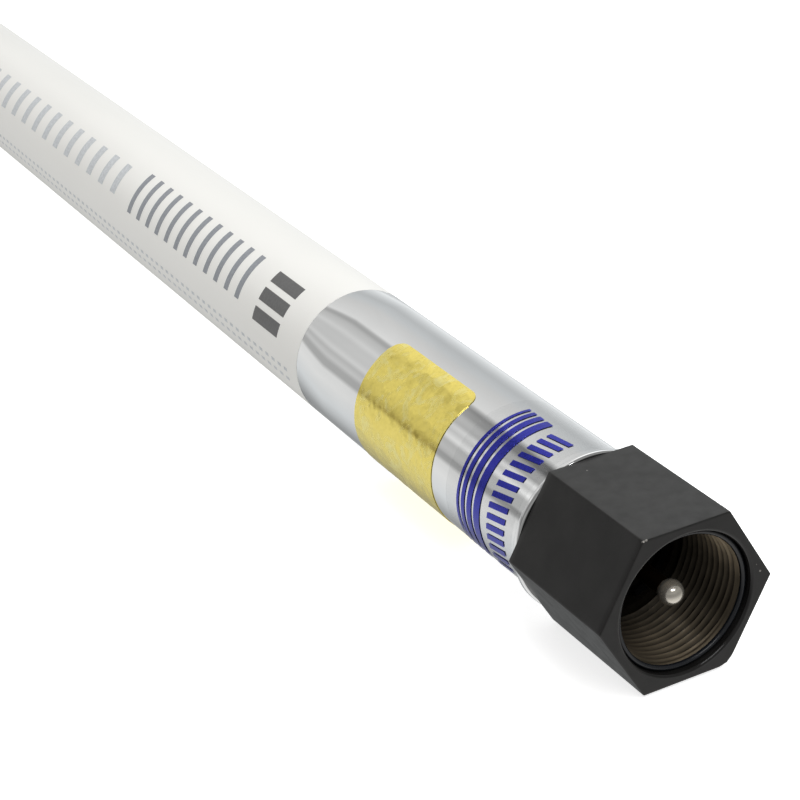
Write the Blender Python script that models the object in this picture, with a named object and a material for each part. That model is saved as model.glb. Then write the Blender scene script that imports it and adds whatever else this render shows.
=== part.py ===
"""Omnidirectional fibreglass antenna: threaded hexagonal base, chromed sleeve and white radome.

The antenna lies along +Y on its base collar and end cap, with the threaded mouth at -Y.
Each piece is modelled about a local axis, +Z from mouth to tip, and hangs on one empty that
lays this axis down along +Y.  Distances along the antenna are measured from the mouth.
"""

import math

import bmesh
import bpy

MM = 0.001

# Shared gaps
FIT_GAP = 0.3 * MM          # between pieces that seat on or pass through each other
SKIN_GAP = 0.05 * MM        # under a label

# Whole antenna
OVERALL_LENGTH = 1200.0 * MM
TUBE_RADIUS = 14.5 * MM     # radome, and the sleeve that is flush with it

# Hexagonal ferrule
HEX_WALL = 1.8 * MM         # least wall between the mouth and a flat
HEX_SHOULDER = 1.8 * MM     # least step from the stub up to a flat
HEX_LENGTH = 28.4 * MM
HEX_EDGE_BREAK = 0.1 * MM
MOUTH_STEP = 0.4 * MM       # mouth beyond the thread's root
MOUTH_CHAMFER = 0.4 * MM
MOUTH_DEPTH = 2.2 * MM
THREAD_MINOR_RADIUS = 12.0 * MM
THREAD_DEPTH = 0.8 * MM
THREAD_PITCH = 1.5 * MM
THREAD_LENGTH = 15.2 * MM
THREAD_RELIEF = 1.8 * MM
THREAD_RELIEF_STEP = 0.2 * MM
SEAT_STEP = 1.0 * MM        # insulator seat inside the thread's crest
SPIGOT_LENGTH = 22.0 * MM   # stub that carries the sleeve

# Seal in the mouth
SEAL_WIRE_RADIUS = 0.5 * MM

# Insulator and its snap ring
INSULATOR_THICKNESS = 6.2 * MM
SNAP_RING_THICKNESS = 1.0 * MM
SNAP_RING_WIDTH = 1.9 * MM
SNAP_RING_BITE = 0.5 * MM   # how far it reaches into its groove
SNAP_RING_GAP_ANGLE = 40.0
SNAP_RING_LAND = 0.8 * MM   # wall in front of the groove

# Sprung centre contact
NOSE_RADIUS = 2.3 * MM
NOSE_SETBACK = 2.4 * MM     # nose tip behind the mouth
PIN_RADIUS = 1.6 * MM
PIN_FLANGE_LENGTH = 1.6 * MM
BARREL_RADIUS = 4.0 * MM
BARREL_WALL = 1.2 * MM
BARREL_LENGTH = 18.6 * MM
BARREL_LIP_LENGTH = 1.5 * MM
BARREL_FLANGE_STEP = 1.5 * MM
BARREL_FLANGE_LENGTH = 1.4 * MM
NUT_WALL = 1.2 * MM
NUT_THICKNESS = 2.4 * MM
SPRING_SIDE_GAP = 0.5 * MM
SPRING_WIRE_RADIUS = 0.28 * MM
SPRING_TURNS = 6
PLUG_INSERT_LENGTH = 2.0 * MM
PLUG_HEAD_LENGTH = 2.0 * MM
PLUG_TAIL_RADIUS = 1.0 * MM
PLUG_TAIL_LENGTH = 2.0 * MM

# Chromed base sleeve
SLEEVE_LENGTH = 88.3 * MM
SLEEVE_WALL = 1.0 * MM
COLLAR_STEP = 1.1 * MM
COLLAR_LENGTH = 1.2 * MM

# Labels on the sleeve; angles count from +X over the top
GOLD_LABEL_START = 60.5 * MM
GOLD_LABEL_LENGTH = 30.5 * MM
GOLD_LABEL_ANGLES = (102.0, 258.0)
GOLD_LABEL_THICKNESS = 0.15 * MM
PRINT_FILM_START = 32.0 * MM
PRINT_FILM_LENGTH = 23.0 * MM
PRINT_FILM_ANGLES = (60.0, 300.0)
PRINT_FILM_THICKNESS = 0.12 * MM

# Radome tube
TUBE_WALL = 3.0 * MM
TURNED_END_LENGTH = 40.0 * MM

# End cap and plug
CAP_WALL = 0.8 * MM
CAP_SKIRT_LENGTH = 18.0 * MM
CAP_CROWN_THICKNESS = 2.6 * MM
CAP_ROUNDING = 2.2 * MM
END_PLUG_LENGTH = 11.0 * MM

# Matching section
FORMER_LENGTH = 92.0 * MM
FORMER_CLEARANCE = 2.0 * MM  # round the contact barrel
FORMER_WALL = 2.2 * MM
COIL_START = 60.0 * MM
COIL_PITCH = 3.0 * MM
COIL_TURNS = 10
COIL_WIRE_RADIUS = 0.6 * MM
GROUND_WIRE_RADIUS = 0.6 * MM
FEED_WIRE_RADIUS = 0.8 * MM
FEED_WIRE_LENGTH = 17.0 * MM
CAPACITOR_RADIUS = 2.8 * MM
CAPACITOR_LENGTH = 14.0 * MM
CAPACITOR_LEAD_RADIUS = 0.4 * MM
CAPACITOR_LEAD_LENGTH = 6.0 * MM
SOCKET_INSERT_LENGTH = 17.0 * MM
SOCKET_FLANGE_RIM = 0.2 * MM  # flange beyond the coil
SOCKET_FLANGE_LENGTH = 2.0 * MM
SOCKET_FLOOR = 2.5 * MM

# Radiator and its spacers
RADIATOR_RADIUS = 2.0 * MM
RADIATOR_TIP_GAP = 48.0 * MM  # between the rod's end and the end plug
SPACER_COUNT = 6
SPACER_THICKNESS = 8.0 * MM
FIRST_SPACER = 190.0 * MM
LAST_SPACER_FROM_END = 25.0 * MM
SPACER_EDGE_BREAK = 0.8 * MM

# How finely round things are divided
SKIN_SEGMENTS = 60          # sleeve and labels share this, so their facets run parallel
BORE_SEGMENTS = 36
SMALL_SEGMENTS = 20
THREAD_SEGMENTS = 20
WIRE_SEGMENTS = 14
ROD_SEGMENTS = 16           # radiator and capacitor
FEED_WIRE_SEGMENTS = 12
SNAP_RING_SEGMENTS = 30
SEAL_STEPS = 7
NOSE_STEPS = 8
CAP_STEPS = 5
SHARP_ANGLE = math.radians(35)

# How far helpers reach past what they cut or join
CUT_BEYOND = 1.0 * MM
JOIN_OVERLAP = 2.0 * MM
THREAD_CUT_REACH = 0.3 * MM

# Shape of the thread's groove
THREAD_FLANK_ANGLE = math.radians(30)
THREAD_ROOT_SHARE = 1 / 16      # half width of the root, as a share of the pitch
THREAD_MOUTH_SHARE = 0.48       # most that half of its mouth may take of the pitch

# Small roundings
COLLAR_ROUNDING = 0.35 * MM
CAPACITOR_ROUNDING = 0.8 * MM

# Places along the antenna that follow from the sizes above
thread_end = MOUTH_DEPTH + THREAD_LENGTH
seat_start = thread_end + THREAD_RELIEF
groove_start = seat_start + SNAP_RING_LAND
groove_end = groove_start + SNAP_RING_THICKNESS + 2 * FIT_GAP
insulator_front = groove_end
insulator_back = insulator_front + INSULATOR_THICKNESS
seat_end = insulator_back + FIT_GAP
spigot_end = max(HEX_LENGTH, seat_end) + SPIGOT_LENGTH
barrel_flange_start = insulator_back + FIT_GAP
barrel_flange_end = barrel_flange_start + BARREL_FLANGE_LENGTH
nut_end = insulator_front - FIT_GAP
nut_start = nut_end - NUT_THICKNESS
barrel_start = nut_start - BARREL_LIP_LENGTH
barrel_end = barrel_start + BARREL_LENGTH
pin_flange_start = barrel_start + BARREL_LIP_LENGTH + FIT_GAP
pin_end = pin_flange_start + PIN_FLANGE_LENGTH
plug_start = barrel_end - PLUG_INSERT_LENGTH
plug_head_end = barrel_end + FIT_GAP + PLUG_HEAD_LENGTH
plug_end = plug_head_end + PLUG_TAIL_LENGTH
sleeve_start = HEX_LENGTH + FIT_GAP
sleeve_end = sleeve_start + SLEEVE_LENGTH
tube_shoulder = sleeve_end + FIT_GAP
tube_start = tube_shoulder - TURNED_END_LENGTH
tube_end = OVERALL_LENGTH - CAP_CROWN_THICKNESS - FIT_GAP
former_start = barrel_flange_end + FIT_GAP
former_end = former_start + FORMER_LENGTH
feed_start = plug_end + FIT_GAP
capacitor_lead_start = feed_start + FEED_WIRE_LENGTH + FIT_GAP
capacitor_start = capacitor_lead_start + CAPACITOR_LEAD_LENGTH
capacitor_end = capacitor_start + CAPACITOR_LENGTH
socket_start = former_end - SOCKET_INSERT_LENGTH
radiator_start = socket_start + SOCKET_FLOOR + FIT_GAP
end_plug_end = tube_end - FIT_GAP
end_plug_start = end_plug_end - END_PLUG_LENGTH
radiator_end = end_plug_start - RADIATOR_TIP_GAP

# Radii that follow from the sizes above
thread_major_radius = THREAD_MINOR_RADIUS + THREAD_DEPTH
mouth_radius = thread_major_radius + MOUTH_STEP
seat_radius = THREAD_MINOR_RADIUS - SEAT_STEP
sleeve_bore_radius = TUBE_RADIUS - SLEEVE_WALL
collar_radius = TUBE_RADIUS + COLLAR_STEP
spigot_radius = sleeve_bore_radius - FIT_GAP
hex_across_flats = 2 * max(mouth_radius + HEX_WALL, spigot_radius + HEX_SHOULDER)
tube_bore_radius = TUBE_RADIUS - TUBE_WALL
barrel_bore_radius = BARREL_RADIUS - BARREL_WALL
barrel_flange_radius = BARREL_RADIUS + BARREL_FLANGE_STEP
nut_across_flats = 2 * (BARREL_RADIUS + FIT_GAP + NUT_WALL)
spring_radius = barrel_bore_radius - SPRING_SIDE_GAP - SPRING_WIRE_RADIUS
former_bore_radius = BARREL_RADIUS + FORMER_CLEARANCE
former_radius = former_bore_radius + FORMER_WALL
spigot_bore_radius = former_radius + FIT_GAP
coil_radius = former_radius + FIT_GAP + COIL_WIRE_RADIUS
socket_flange_radius = coil_radius + COIL_WIRE_RADIUS + SOCKET_FLANGE_RIM
cap_radius = TUBE_RADIUS + FIT_GAP + CAP_WALL
rest_radius = max(collar_radius, hex_across_flats / 2, cap_radius)


def remove_old_objects():
    for old in list(bpy.data.objects):
        bpy.data.objects.remove(old, do_unlink=True)


def make_material(name, color, roughness, metallic=0.0):
    material = bpy.data.materials.new(name)
    material.use_nodes = True
    shader = material.node_tree.nodes["Principled BSDF"]
    shader.inputs["Base Color"].default_value = (*color, 1.0)
    shader.inputs["Roughness"].default_value = roughness
    shader.inputs["Metallic"].default_value = metallic
    return material


def lay_axis_down():
    """The empty that turns the local axis from +Z to +Y and centres the antenna on Y."""
    frame = bpy.data.objects.new("antenna_axis", None)
    bpy.context.collection.objects.link(frame)
    frame.location = (0.0, -OVERALL_LENGTH / 2, rest_radius)
    frame.rotation_euler = (-math.pi / 2, 0.0, 0.0)
    return frame


def add_object(name, data, material, frame):
    made = bpy.data.objects.new(name, data)
    bpy.context.collection.objects.link(made)
    made.parent = frame
    if material is not None:
        data.materials.append(material)
    return made


def finish_mesh(name, bm, material, frame):
    """Close the bmesh into an object whose faces point out, smooth up to its real edges."""
    bmesh.ops.remove_doubles(bm, verts=bm.verts, dist=1e-7)
    bmesh.ops.recalc_face_normals(bm, faces=bm.faces)
    mesh = bpy.data.meshes.new(name)
    bm.to_mesh(mesh)
    bm.free()
    mesh.shade_smooth()
    mesh.set_sharp_from_angle(angle=SHARP_ANGLE)
    return add_object(name, mesh, material, frame)


def arc(center_radius, center_z, radius, start, end, steps):
    """Points (radius, z) on an arc; angles in degrees, 0 outward and 90 towards the tip."""
    points = []
    for step in range(steps + 1):
        angle = math.radians(start + (end - start) * step / steps)
        points.append((center_radius + radius * math.cos(angle), center_z + radius * math.sin(angle)))
    return points


def turned(name, profile, material, frame, segments=SMALL_SEGMENTS):
    """Spin a profile of (radius, z) points; one that starts and ends on the axis is a solid bar."""
    bm = bmesh.new()
    verts = [bm.verts.new((radius, 0.0, z)) for radius, z in profile]
    solid_bar = profile[0][0] == 0.0 and profile[-1][0] == 0.0
    pairs = zip(verts, verts[1:] if solid_bar else verts[1:] + verts[:1])
    edges = [bm.edges.new(pair) for pair in pairs]
    bmesh.ops.spin(bm, geom=verts + edges, cent=(0, 0, 0), axis=(0, 0, 1),
                   angle=math.tau, steps=segments, use_merge=True)
    return finish_mesh(name, bm, material, frame)


def bar(radius, start, end):
    """Profile of a plain round bar."""
    return [(0.0, start), (radius, start), (radius, end), (0.0, end)]


def tube(inner, outer, start, end):
    """Profile of a plain round tube."""
    return [(inner, start), (outer, start), (outer, end), (inner, end)]


def hexagon(name, across_flats, start, end, material, frame):
    """Hexagonal prism with flats at top and bottom and corners at +-X."""
    bm = bmesh.new()
    made = bmesh.ops.create_circle(bm, cap_ends=True, segments=6, radius=across_flats / math.sqrt(3))
    first = made["verts"][0].co
    turn = -math.atan2(first.y, first.x)
    for vert in bm.verts:
        x, y = vert.co.x, vert.co.y
        vert.co.x = x * math.cos(turn) - y * math.sin(turn)
        vert.co.y = x * math.sin(turn) + y * math.cos(turn)
        vert.co.z = start
    raised = bmesh.ops.extrude_face_region(bm, geom=bm.faces[:])
    top = [part for part in raised["geom"] if isinstance(part, bmesh.types.BMVert)]
    bmesh.ops.translate(bm, verts=top, vec=(0, 0, end - start))
    return finish_mesh(name, bm, material, frame)


def curved_band(name, inner, outer, start, end, angles, segments, material, frame):
    """Part of a tube's wall between two angles, seen from the mouth, counted from +X over the top."""
    bm = bmesh.new()
    corners = [(inner, start), (outer, start), (outer, end), (inner, end)]
    first, last = angles
    rings = []
    for step in range(segments + 1):
        angle = -math.radians(first + (last - first) * step / segments)
        rings.append([bm.verts.new((r * math.cos(angle), r * math.sin(angle), z)) for r, z in corners])
    for ring, following in zip(rings, rings[1:]):
        for side in range(4):
            after = (side + 1) % 4
            bm.faces.new((ring[side], ring[after], following[after], following[side]))
    bm.faces.new(rings[0])
    bm.faces.new(rings[-1])
    return finish_mesh(name, bm, material, frame)


def wire(name, points, radius, material, frame, sides_resolution=0):
    """Round wire along a list of points, with closed ends."""
    curve = bpy.data.curves.new(name, "CURVE")
    curve.dimensions = "3D"
    spline = curve.splines.new("POLY")
    spline.points.add(len(points) - 1)
    for spot, point in zip(spline.points, points):
        spot.co = (*point, 1.0)
    curve.bevel_depth = radius
    curve.bevel_resolution = sides_resolution
    curve.use_fill_caps = True
    return add_object(name, curve, material, frame)


def helix(radius, start, pitch, turns, segments):
    """Points of a right-handed helix about the axis."""
    points = []
    for step in range(int(turns * segments) + 1):
        angle = math.tau * step / segments
        height = start + pitch * step / segments
        points.append((radius * math.cos(angle), radius * math.sin(angle), height))
    return points


def cut(target, tool, operation="DIFFERENCE"):
    """Keep a Boolean on the target; the tool stays as a hidden wire object."""
    tool.hide_render = True
    tool.display_type = "WIRE"
    boolean = target.modifiers.new(tool.name, "BOOLEAN")
    boolean.operation = operation
    boolean.solver = "EXACT"
    boolean.object = tool


def thread_cutter(frame):
    """A 60 degree groove swept along the thread, from the open mouth into the relief."""
    inner = THREAD_MINOR_RADIUS - THREAD_CUT_REACH
    root_half = THREAD_PITCH * THREAD_ROOT_SHARE
    mouth_half = root_half + (thread_major_radius - inner) * math.tan(THREAD_FLANK_ANGLE)
    mouth_half = min(mouth_half, THREAD_PITCH * THREAD_MOUTH_SHARE)
    profile = [(inner, -mouth_half), (thread_major_radius, -root_half),
               (thread_major_radius, root_half), (inner, mouth_half)]
    start = MOUTH_DEPTH - THREAD_PITCH / 2
    end = thread_end + THREAD_RELIEF / 2
    bm = bmesh.new()
    rings = []
    for x, y, z in helix(1.0, start, THREAD_PITCH, (end - start) / THREAD_PITCH, THREAD_SEGMENTS):
        rings.append([bm.verts.new((r * x, r * y, z + shift)) for r, shift in profile])
    for ring, following in zip(rings, rings[1:]):
        for side in range(len(ring)):
            after = (side + 1) % len(ring)
            bm.faces.new((ring[side], ring[after], following[after], following[side]))
    bm.faces.new(rings[0])
    bm.faces.new(rings[-1])
    return finish_mesh("cut_thread", bm, None, frame)


def make_ferrule(frame, black):
    ferrule = hexagon("hex_ferrule", hex_across_flats, 0.0, HEX_LENGTH, black, frame)
    edge_break = ferrule.modifiers.new("edge_break", "BEVEL")
    edge_break.width = HEX_EDGE_BREAK
    edge_break.segments = 1
    spigot = turned("add_spigot", bar(spigot_radius, HEX_LENGTH - JOIN_OVERLAP, spigot_end), None, frame,
                    BORE_SEGMENTS)
    cut(ferrule, spigot, "UNION")
    relief_radius = thread_major_radius + THREAD_RELIEF_STEP
    groove_radius = seat_radius + SNAP_RING_BITE + FIT_GAP
    bore = [
        (0.0, -CUT_BEYOND),
        (mouth_radius + MOUTH_CHAMFER + CUT_BEYOND, -CUT_BEYOND),
        (mouth_radius, MOUTH_CHAMFER),
        (mouth_radius, MOUTH_DEPTH),
        (THREAD_MINOR_RADIUS, MOUTH_DEPTH),
        (THREAD_MINOR_RADIUS, thread_end),
        (relief_radius, thread_end),
        (relief_radius, seat_start),
        (seat_radius, seat_start),
        (seat_radius, groove_start),
        (groove_radius, groove_start),
        (groove_radius, groove_end),
        (seat_radius, groove_end),
        (seat_radius, seat_end),
        (spigot_bore_radius, seat_end),
        (spigot_bore_radius, spigot_end + CUT_BEYOND),
        (0.0, spigot_end + CUT_BEYOND),
    ]
    cut(ferrule, turned("cut_bore", bore, None, frame, BORE_SEGMENTS))
    cut(ferrule, thread_cutter(frame))


def make_mouth_seal(frame, rubber):
    ring_radius = mouth_radius - SKIN_GAP - SEAL_WIRE_RADIUS
    height = MOUTH_DEPTH - SKIN_GAP - SEAL_WIRE_RADIUS
    profile = arc(ring_radius, height, SEAL_WIRE_RADIUS, 0.0, 315.0, SEAL_STEPS)
    turned("mouth_seal", profile, rubber, frame, BORE_SEGMENTS)


def make_insulator(frame, plastic, steel):
    hole = BARREL_RADIUS + FIT_GAP
    turned("contact_insulator", tube(hole, seat_radius - FIT_GAP, insulator_front, insulator_back),
           plastic, frame, BORE_SEGMENTS)
    outer = seat_radius + SNAP_RING_BITE
    half_gap = SNAP_RING_GAP_ANGLE / 2
    curved_band("snap_ring", outer - SNAP_RING_WIDTH, outer, groove_start + FIT_GAP,
                groove_end - FIT_GAP, (270.0 + half_gap, 630.0 - half_gap),
                SNAP_RING_SEGMENTS, steel, frame)


def make_contact(frame, nickel, brass, spring_steel):
    nose_center = NOSE_SETBACK + NOSE_RADIUS
    neck = math.degrees(math.acos(PIN_RADIUS / NOSE_RADIUS))
    nose = arc(0.0, nose_center, NOSE_RADIUS, -90.0, neck, NOSE_STEPS)
    flange_radius = barrel_bore_radius - FIT_GAP
    nose[0] = (0.0, nose[0][1])
    pin = nose + [(PIN_RADIUS, pin_flange_start), (flange_radius, pin_flange_start),
                  (flange_radius, pin_end), (0.0, pin_end)]
    turned("contact_pin", pin, nickel, frame)

    lip_bore = PIN_RADIUS + FIT_GAP
    lip_end = barrel_start + BARREL_LIP_LENGTH
    barrel = [
        (lip_bore, barrel_start),
        (BARREL_RADIUS, barrel_start),
        (BARREL_RADIUS, barrel_flange_start),
        (barrel_flange_radius, barrel_flange_start),
        (barrel_flange_radius, barrel_flange_end),
        (BARREL_RADIUS, barrel_flange_end),
        (BARREL_RADIUS, barrel_end),
        (barrel_bore_radius, barrel_end),
        (barrel_bore_radius, lip_end),
        (lip_bore, lip_end),
    ]
    turned("contact_barrel", barrel, brass, frame)

    nut = hexagon("barrel_nut", nut_across_flats, nut_start, nut_end, brass, frame)
    hole = turned("cut_nut_hole",
                  bar(BARREL_RADIUS + FIT_GAP, nut_start - CUT_BEYOND, nut_end + CUT_BEYOND),
                  None, frame)
    cut(nut, hole)

    wire_clearance = SPRING_WIRE_RADIUS + SKIN_GAP
    first = pin_end + wire_clearance
    last = plug_start - wire_clearance
    coils = helix(spring_radius, first, (last - first) / SPRING_TURNS, SPRING_TURNS, WIRE_SEGMENTS)
    wire("contact_spring", coils, SPRING_WIRE_RADIUS, spring_steel, frame)

    insert_radius = barrel_bore_radius - FIT_GAP
    head_start = barrel_end + FIT_GAP
    plug = [
        (0.0, plug_start),
        (insert_radius, plug_start),
        (insert_radius, head_start),
        (BARREL_RADIUS, head_start),
        (BARREL_RADIUS, plug_head_end),
        (PLUG_TAIL_RADIUS, plug_head_end),
        (PLUG_TAIL_RADIUS, plug_end),
        (0.0, plug_end),
    ]
    turned("contact_plug", plug, brass, frame)


def make_sleeve(frame, chrome):
    collar_end = sleeve_start + COLLAR_LENGTH
    profile = [
        (sleeve_bore_radius, sleeve_start),
        (collar_radius - COLLAR_ROUNDING, sleeve_start),
        (collar_radius, sleeve_start + COLLAR_ROUNDING),
        (collar_radius, collar_end - COLLAR_ROUNDING),
        (collar_radius - COLLAR_ROUNDING, collar_end),
        (TUBE_RADIUS, collar_end),
        (TUBE_RADIUS, sleeve_end),
        (sleeve_bore_radius, sleeve_end),
    ]
    turned("base_sleeve", profile, chrome, frame, SKIN_SEGMENTS)


def make_label(name, start, length, angles, thickness, material, frame):
    inner = TUBE_RADIUS + SKIN_GAP
    segments = round((angles[1] - angles[0]) * SKIN_SEGMENTS / 360)
    curved_band(name, inner, inner + thickness, start, start + length, angles, segments, material, frame)


def make_radome(frame, fibreglass):
    profile = [
        (tube_bore_radius, tube_start),
        (sleeve_bore_radius - FIT_GAP, tube_start),
        (sleeve_bore_radius - FIT_GAP, tube_shoulder),
        (TUBE_RADIUS, tube_shoulder),
        (TUBE_RADIUS, tube_end),
        (tube_bore_radius, tube_end),
    ]
    turned("radome_tube", profile, fibreglass, frame, SKIN_SEGMENTS)


def make_end_cap(frame, plastic, foam):
    inner = TUBE_RADIUS + FIT_GAP
    skirt_start = tube_end - CAP_SKIRT_LENGTH
    crown_inside = tube_end + FIT_GAP
    edge = arc(cap_radius - CAP_ROUNDING, OVERALL_LENGTH - CAP_ROUNDING, CAP_ROUNDING, 0.0, 90.0,
               CAP_STEPS)
    profile = [(0.0, crown_inside), (inner, crown_inside), (inner, skirt_start),
               (cap_radius, skirt_start)] + edge + [(0.0, OVERALL_LENGTH)]
    turned("end_cap", profile, plastic, frame, BORE_SEGMENTS)
    turned("end_plug", bar(tube_bore_radius - FIT_GAP, end_plug_start, end_plug_end), foam, frame)


def make_matching_section(frame, plastic, copper, ceramic, brass, wire_cover):
    turned("coil_former", tube(former_bore_radius, former_radius, former_start, former_end),
           plastic, frame)

    winding = helix(coil_radius, COIL_START, COIL_PITCH, COIL_TURNS, WIRE_SEGMENTS)
    lead_end = former_end - FIT_GAP
    winding.append((coil_radius, 0.0, lead_end))
    wire("matching_coil", winding, COIL_WIRE_RADIUS, copper, frame)

    foot = spigot_end + FIT_GAP
    head = COIL_START - COIL_PITCH / 2
    wire("ground_wire", [(coil_radius, 0.0, foot), (coil_radius, 0.0, head)],
         GROUND_WIRE_RADIUS, copper, frame, 1)

    turned("feed_wire", bar(FEED_WIRE_RADIUS, feed_start, feed_start + FEED_WIRE_LENGTH),
           wire_cover, frame, FEED_WIRE_SEGMENTS)

    lead_stop = socket_start - FIT_GAP
    capacitor = [
        (0.0, capacitor_lead_start),
        (CAPACITOR_LEAD_RADIUS, capacitor_lead_start),
        (CAPACITOR_LEAD_RADIUS, capacitor_start),
        (CAPACITOR_RADIUS - CAPACITOR_ROUNDING, capacitor_start),
        (CAPACITOR_RADIUS, capacitor_start + CAPACITOR_ROUNDING),
        (CAPACITOR_RADIUS, capacitor_end - CAPACITOR_ROUNDING),
        (CAPACITOR_RADIUS - CAPACITOR_ROUNDING, capacitor_end),
        (CAPACITOR_LEAD_RADIUS, capacitor_end),
        (CAPACITOR_LEAD_RADIUS, lead_stop),
        (0.0, lead_stop),
    ]
    turned("matching_capacitor", capacitor, ceramic, frame, ROD_SEGMENTS)

    insert_radius = former_bore_radius - FIT_GAP
    flange_start = former_end + FIT_GAP
    flange_end = flange_start + SOCKET_FLANGE_LENGTH
    hole = RADIATOR_RADIUS + FIT_GAP
    floor = socket_start + SOCKET_FLOOR
    socket = [
        (0.0, socket_start),
        (insert_radius, socket_start),
        (insert_radius, flange_start),
        (socket_flange_radius, flange_start),
        (socket_flange_radius, flange_end),
        (hole, flange_end),
        (hole, floor),
        (0.0, floor),
    ]
    turned("radiator_socket", socket, brass, frame)


def make_radiator(frame, brass, foam):
    turned("radiator_rod", bar(RADIATOR_RADIUS, radiator_start, radiator_end), brass, frame,
           ROD_SEGMENTS)
    hole = RADIATOR_RADIUS + FIT_GAP
    outer = tube_bore_radius - FIT_GAP
    last_spacer = radiator_end - LAST_SPACER_FROM_END
    for number in range(SPACER_COUNT):
        middle = FIRST_SPACER + (last_spacer - FIRST_SPACER) * number / (SPACER_COUNT - 1)
        start = middle - SPACER_THICKNESS / 2
        end = middle + SPACER_THICKNESS / 2
        profile = [
            (hole, start),
            (outer - SPACER_EDGE_BREAK, start),
            (outer, start + SPACER_EDGE_BREAK),
            (outer, end - SPACER_EDGE_BREAK),
            (outer - SPACER_EDGE_BREAK, end),
            (hole, end),
        ]
        turned(f"rod_spacer_{number + 1}", profile, foam, frame)


def build():
    remove_old_objects()
    frame = lay_axis_down()

    black = make_material("black_anodised", (0.028, 0.028, 0.030), 0.42, 0.6)
    rubber = make_material("black_rubber", (0.012, 0.012, 0.013), 0.35)
    nickel = make_material("bright_nickel", (0.78, 0.76, 0.72), 0.12, 1.0)
    brass = make_material("brass", (0.72, 0.52, 0.24), 0.3, 1.0)
    steel = make_material("spring_steel", (0.45, 0.45, 0.46), 0.35, 1.0)
    dark_plastic = make_material("insulator_plastic", (0.05, 0.045, 0.04), 0.5)
    chrome = make_material("mirror_chrome", (0.82, 0.83, 0.84), 0.08, 1.0)
    gold = make_material("gold_foil", (0.86, 0.66, 0.24), 0.35, 0.8)
    film = make_material("blue_printed_film", (0.06, 0.08, 0.42), 0.2)
    fibreglass = make_material("white_fibreglass", (0.86, 0.86, 0.85), 0.3)
    foam = make_material("white_foam", (0.85, 0.84, 0.80), 0.9)
    copper = make_material("enamelled_copper", (0.62, 0.28, 0.14), 0.3, 1.0)
    ceramic = make_material("glazed_ceramic", (0.20, 0.28, 0.50), 0.3)
    red_cover = make_material("red_wire_cover", (0.55, 0.05, 0.04), 0.45)

    make_ferrule(frame, black)
    make_mouth_seal(frame, rubber)
    make_insulator(frame, dark_plastic, steel)
    make_contact(frame, nickel, brass, steel)
    make_sleeve(frame, chrome)
    make_label("gold_label", GOLD_LABEL_START, GOLD_LABEL_LENGTH, GOLD_LABEL_ANGLES,
               GOLD_LABEL_THICKNESS, gold, frame)
    make_label("print_film", PRINT_FILM_START, PRINT_FILM_LENGTH, PRINT_FILM_ANGLES,
               PRINT_FILM_THICKNESS, film, frame)
    make_radome(frame, fibreglass)
    make_end_cap(frame, fibreglass, foam)
    make_matching_section(frame, dark_plastic, copper, ceramic, brass, red_cover)
    make_radiator(frame, brass, foam)


build()
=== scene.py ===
"""Looks of a fibreglass omnidirectional antenna, built around its packed frame.

The file is laid out as a Blender add-on and is run as a script: main() registers the classes,
calls one operator for the stage and one for each group of pieces.

The antenna lies along +Y.  `spot` turns (radius, angle, along) into a place: angles are in
degrees from +X over the top, and distances along the antenna are measured from its mouth.
"""

import math

import bmesh
import bpy
from bpy.props import FloatProperty, FloatVectorProperty, PointerProperty
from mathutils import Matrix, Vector, noise


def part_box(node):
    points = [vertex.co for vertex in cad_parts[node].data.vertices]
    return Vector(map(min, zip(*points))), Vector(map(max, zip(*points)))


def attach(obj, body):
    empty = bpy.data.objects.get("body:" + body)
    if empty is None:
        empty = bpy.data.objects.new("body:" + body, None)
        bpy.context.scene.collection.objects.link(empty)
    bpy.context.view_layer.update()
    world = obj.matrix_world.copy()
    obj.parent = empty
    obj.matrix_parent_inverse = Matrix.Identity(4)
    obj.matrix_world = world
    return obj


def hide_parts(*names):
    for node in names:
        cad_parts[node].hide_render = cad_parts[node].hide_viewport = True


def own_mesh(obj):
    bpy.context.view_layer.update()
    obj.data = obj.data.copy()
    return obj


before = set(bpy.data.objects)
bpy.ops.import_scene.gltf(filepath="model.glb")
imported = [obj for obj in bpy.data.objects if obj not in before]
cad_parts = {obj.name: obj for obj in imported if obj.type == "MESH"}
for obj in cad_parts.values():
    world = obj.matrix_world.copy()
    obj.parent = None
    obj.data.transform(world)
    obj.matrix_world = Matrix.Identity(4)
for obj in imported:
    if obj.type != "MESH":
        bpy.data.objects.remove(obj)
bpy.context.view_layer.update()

bl_info = {
    "name": "Fibreglass antenna",
    "version": (1, 0, 0),
    "blender": (4, 5, 0),
    "location": "View3D > Sidebar > Antenna",
    "description": "Adds the visible pieces of an omnidirectional antenna and its studio",
    "category": "Object",
}

MM = 0.001
ANTENNA = "antenna"
CONTACT = "contact"

# Places taken from the frame
FERRULE_LOW, FERRULE_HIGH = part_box("hex_ferrule")
SLEEVE_LOW, SLEEVE_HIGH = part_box("base_sleeve")
TUBE_LOW, TUBE_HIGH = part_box("radome_tube")
CAP_LOW, CAP_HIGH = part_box("end_cap")
SEAL_LOW, SEAL_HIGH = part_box("mouth_seal")
PIN_LOW, PIN_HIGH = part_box("contact_pin")
GOLD_LOW, GOLD_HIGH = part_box("gold_label")
FILM_LOW, FILM_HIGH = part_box("print_film")
INSULATOR_LOW, INSULATOR_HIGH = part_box("contact_insulator")
SPRING_LOW, SPRING_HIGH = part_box("contact_spring")
COIL_LOW, COIL_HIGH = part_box("matching_coil")
FORMER_LOW, FORMER_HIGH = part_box("coil_former")
MOUTH_Y = FERRULE_LOW.y
AXIS_Z = (TUBE_LOW.z + TUBE_HIGH.z) / 2
TUBE_RADIUS = (TUBE_HIGH.z - TUBE_LOW.z) / 2
COLLAR_RADIUS = (SLEEVE_HIGH.z - SLEEVE_LOW.z) / 2
CAP_RADIUS = (CAP_HIGH.z - CAP_LOW.z) / 2
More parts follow.
